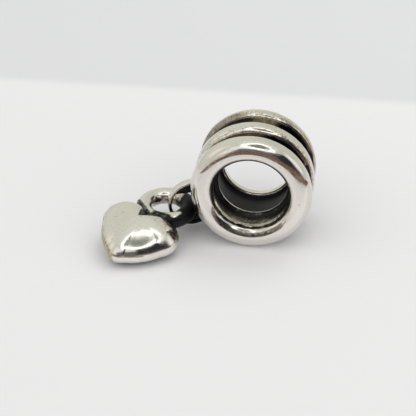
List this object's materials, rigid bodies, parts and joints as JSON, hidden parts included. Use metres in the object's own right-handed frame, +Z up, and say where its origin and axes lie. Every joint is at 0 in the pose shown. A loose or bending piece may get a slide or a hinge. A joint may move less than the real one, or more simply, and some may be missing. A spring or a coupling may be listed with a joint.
{
  "type": "bracelet charm bead with a heart drop",
  "caption": "Ribbed silver barrel bead with a wide bore for a bracelet, and a side eye that holds a small puffed heart by its loop.",
  "frame": {"origin": "centre of the bounding box, on the surface that the charm rests on", "axes": "+Z up, +Y along the bead's bore from its front end to its rear end, the heart lies towards -X"},
  "size_m": [0.0134, 0.009, 0.0078],
  "materials": {
    "bead_silver": "worn polished sterling silver, oxidised dark in the grooves and inside the bore",
    "heart_silver": "worn polished sterling silver, dark round the loop and in the cleft"
  },
  "bodies": {
    "root": {"bead": "bead_silver", "heart": "heart_silver"}
  },
  "joints": []
}
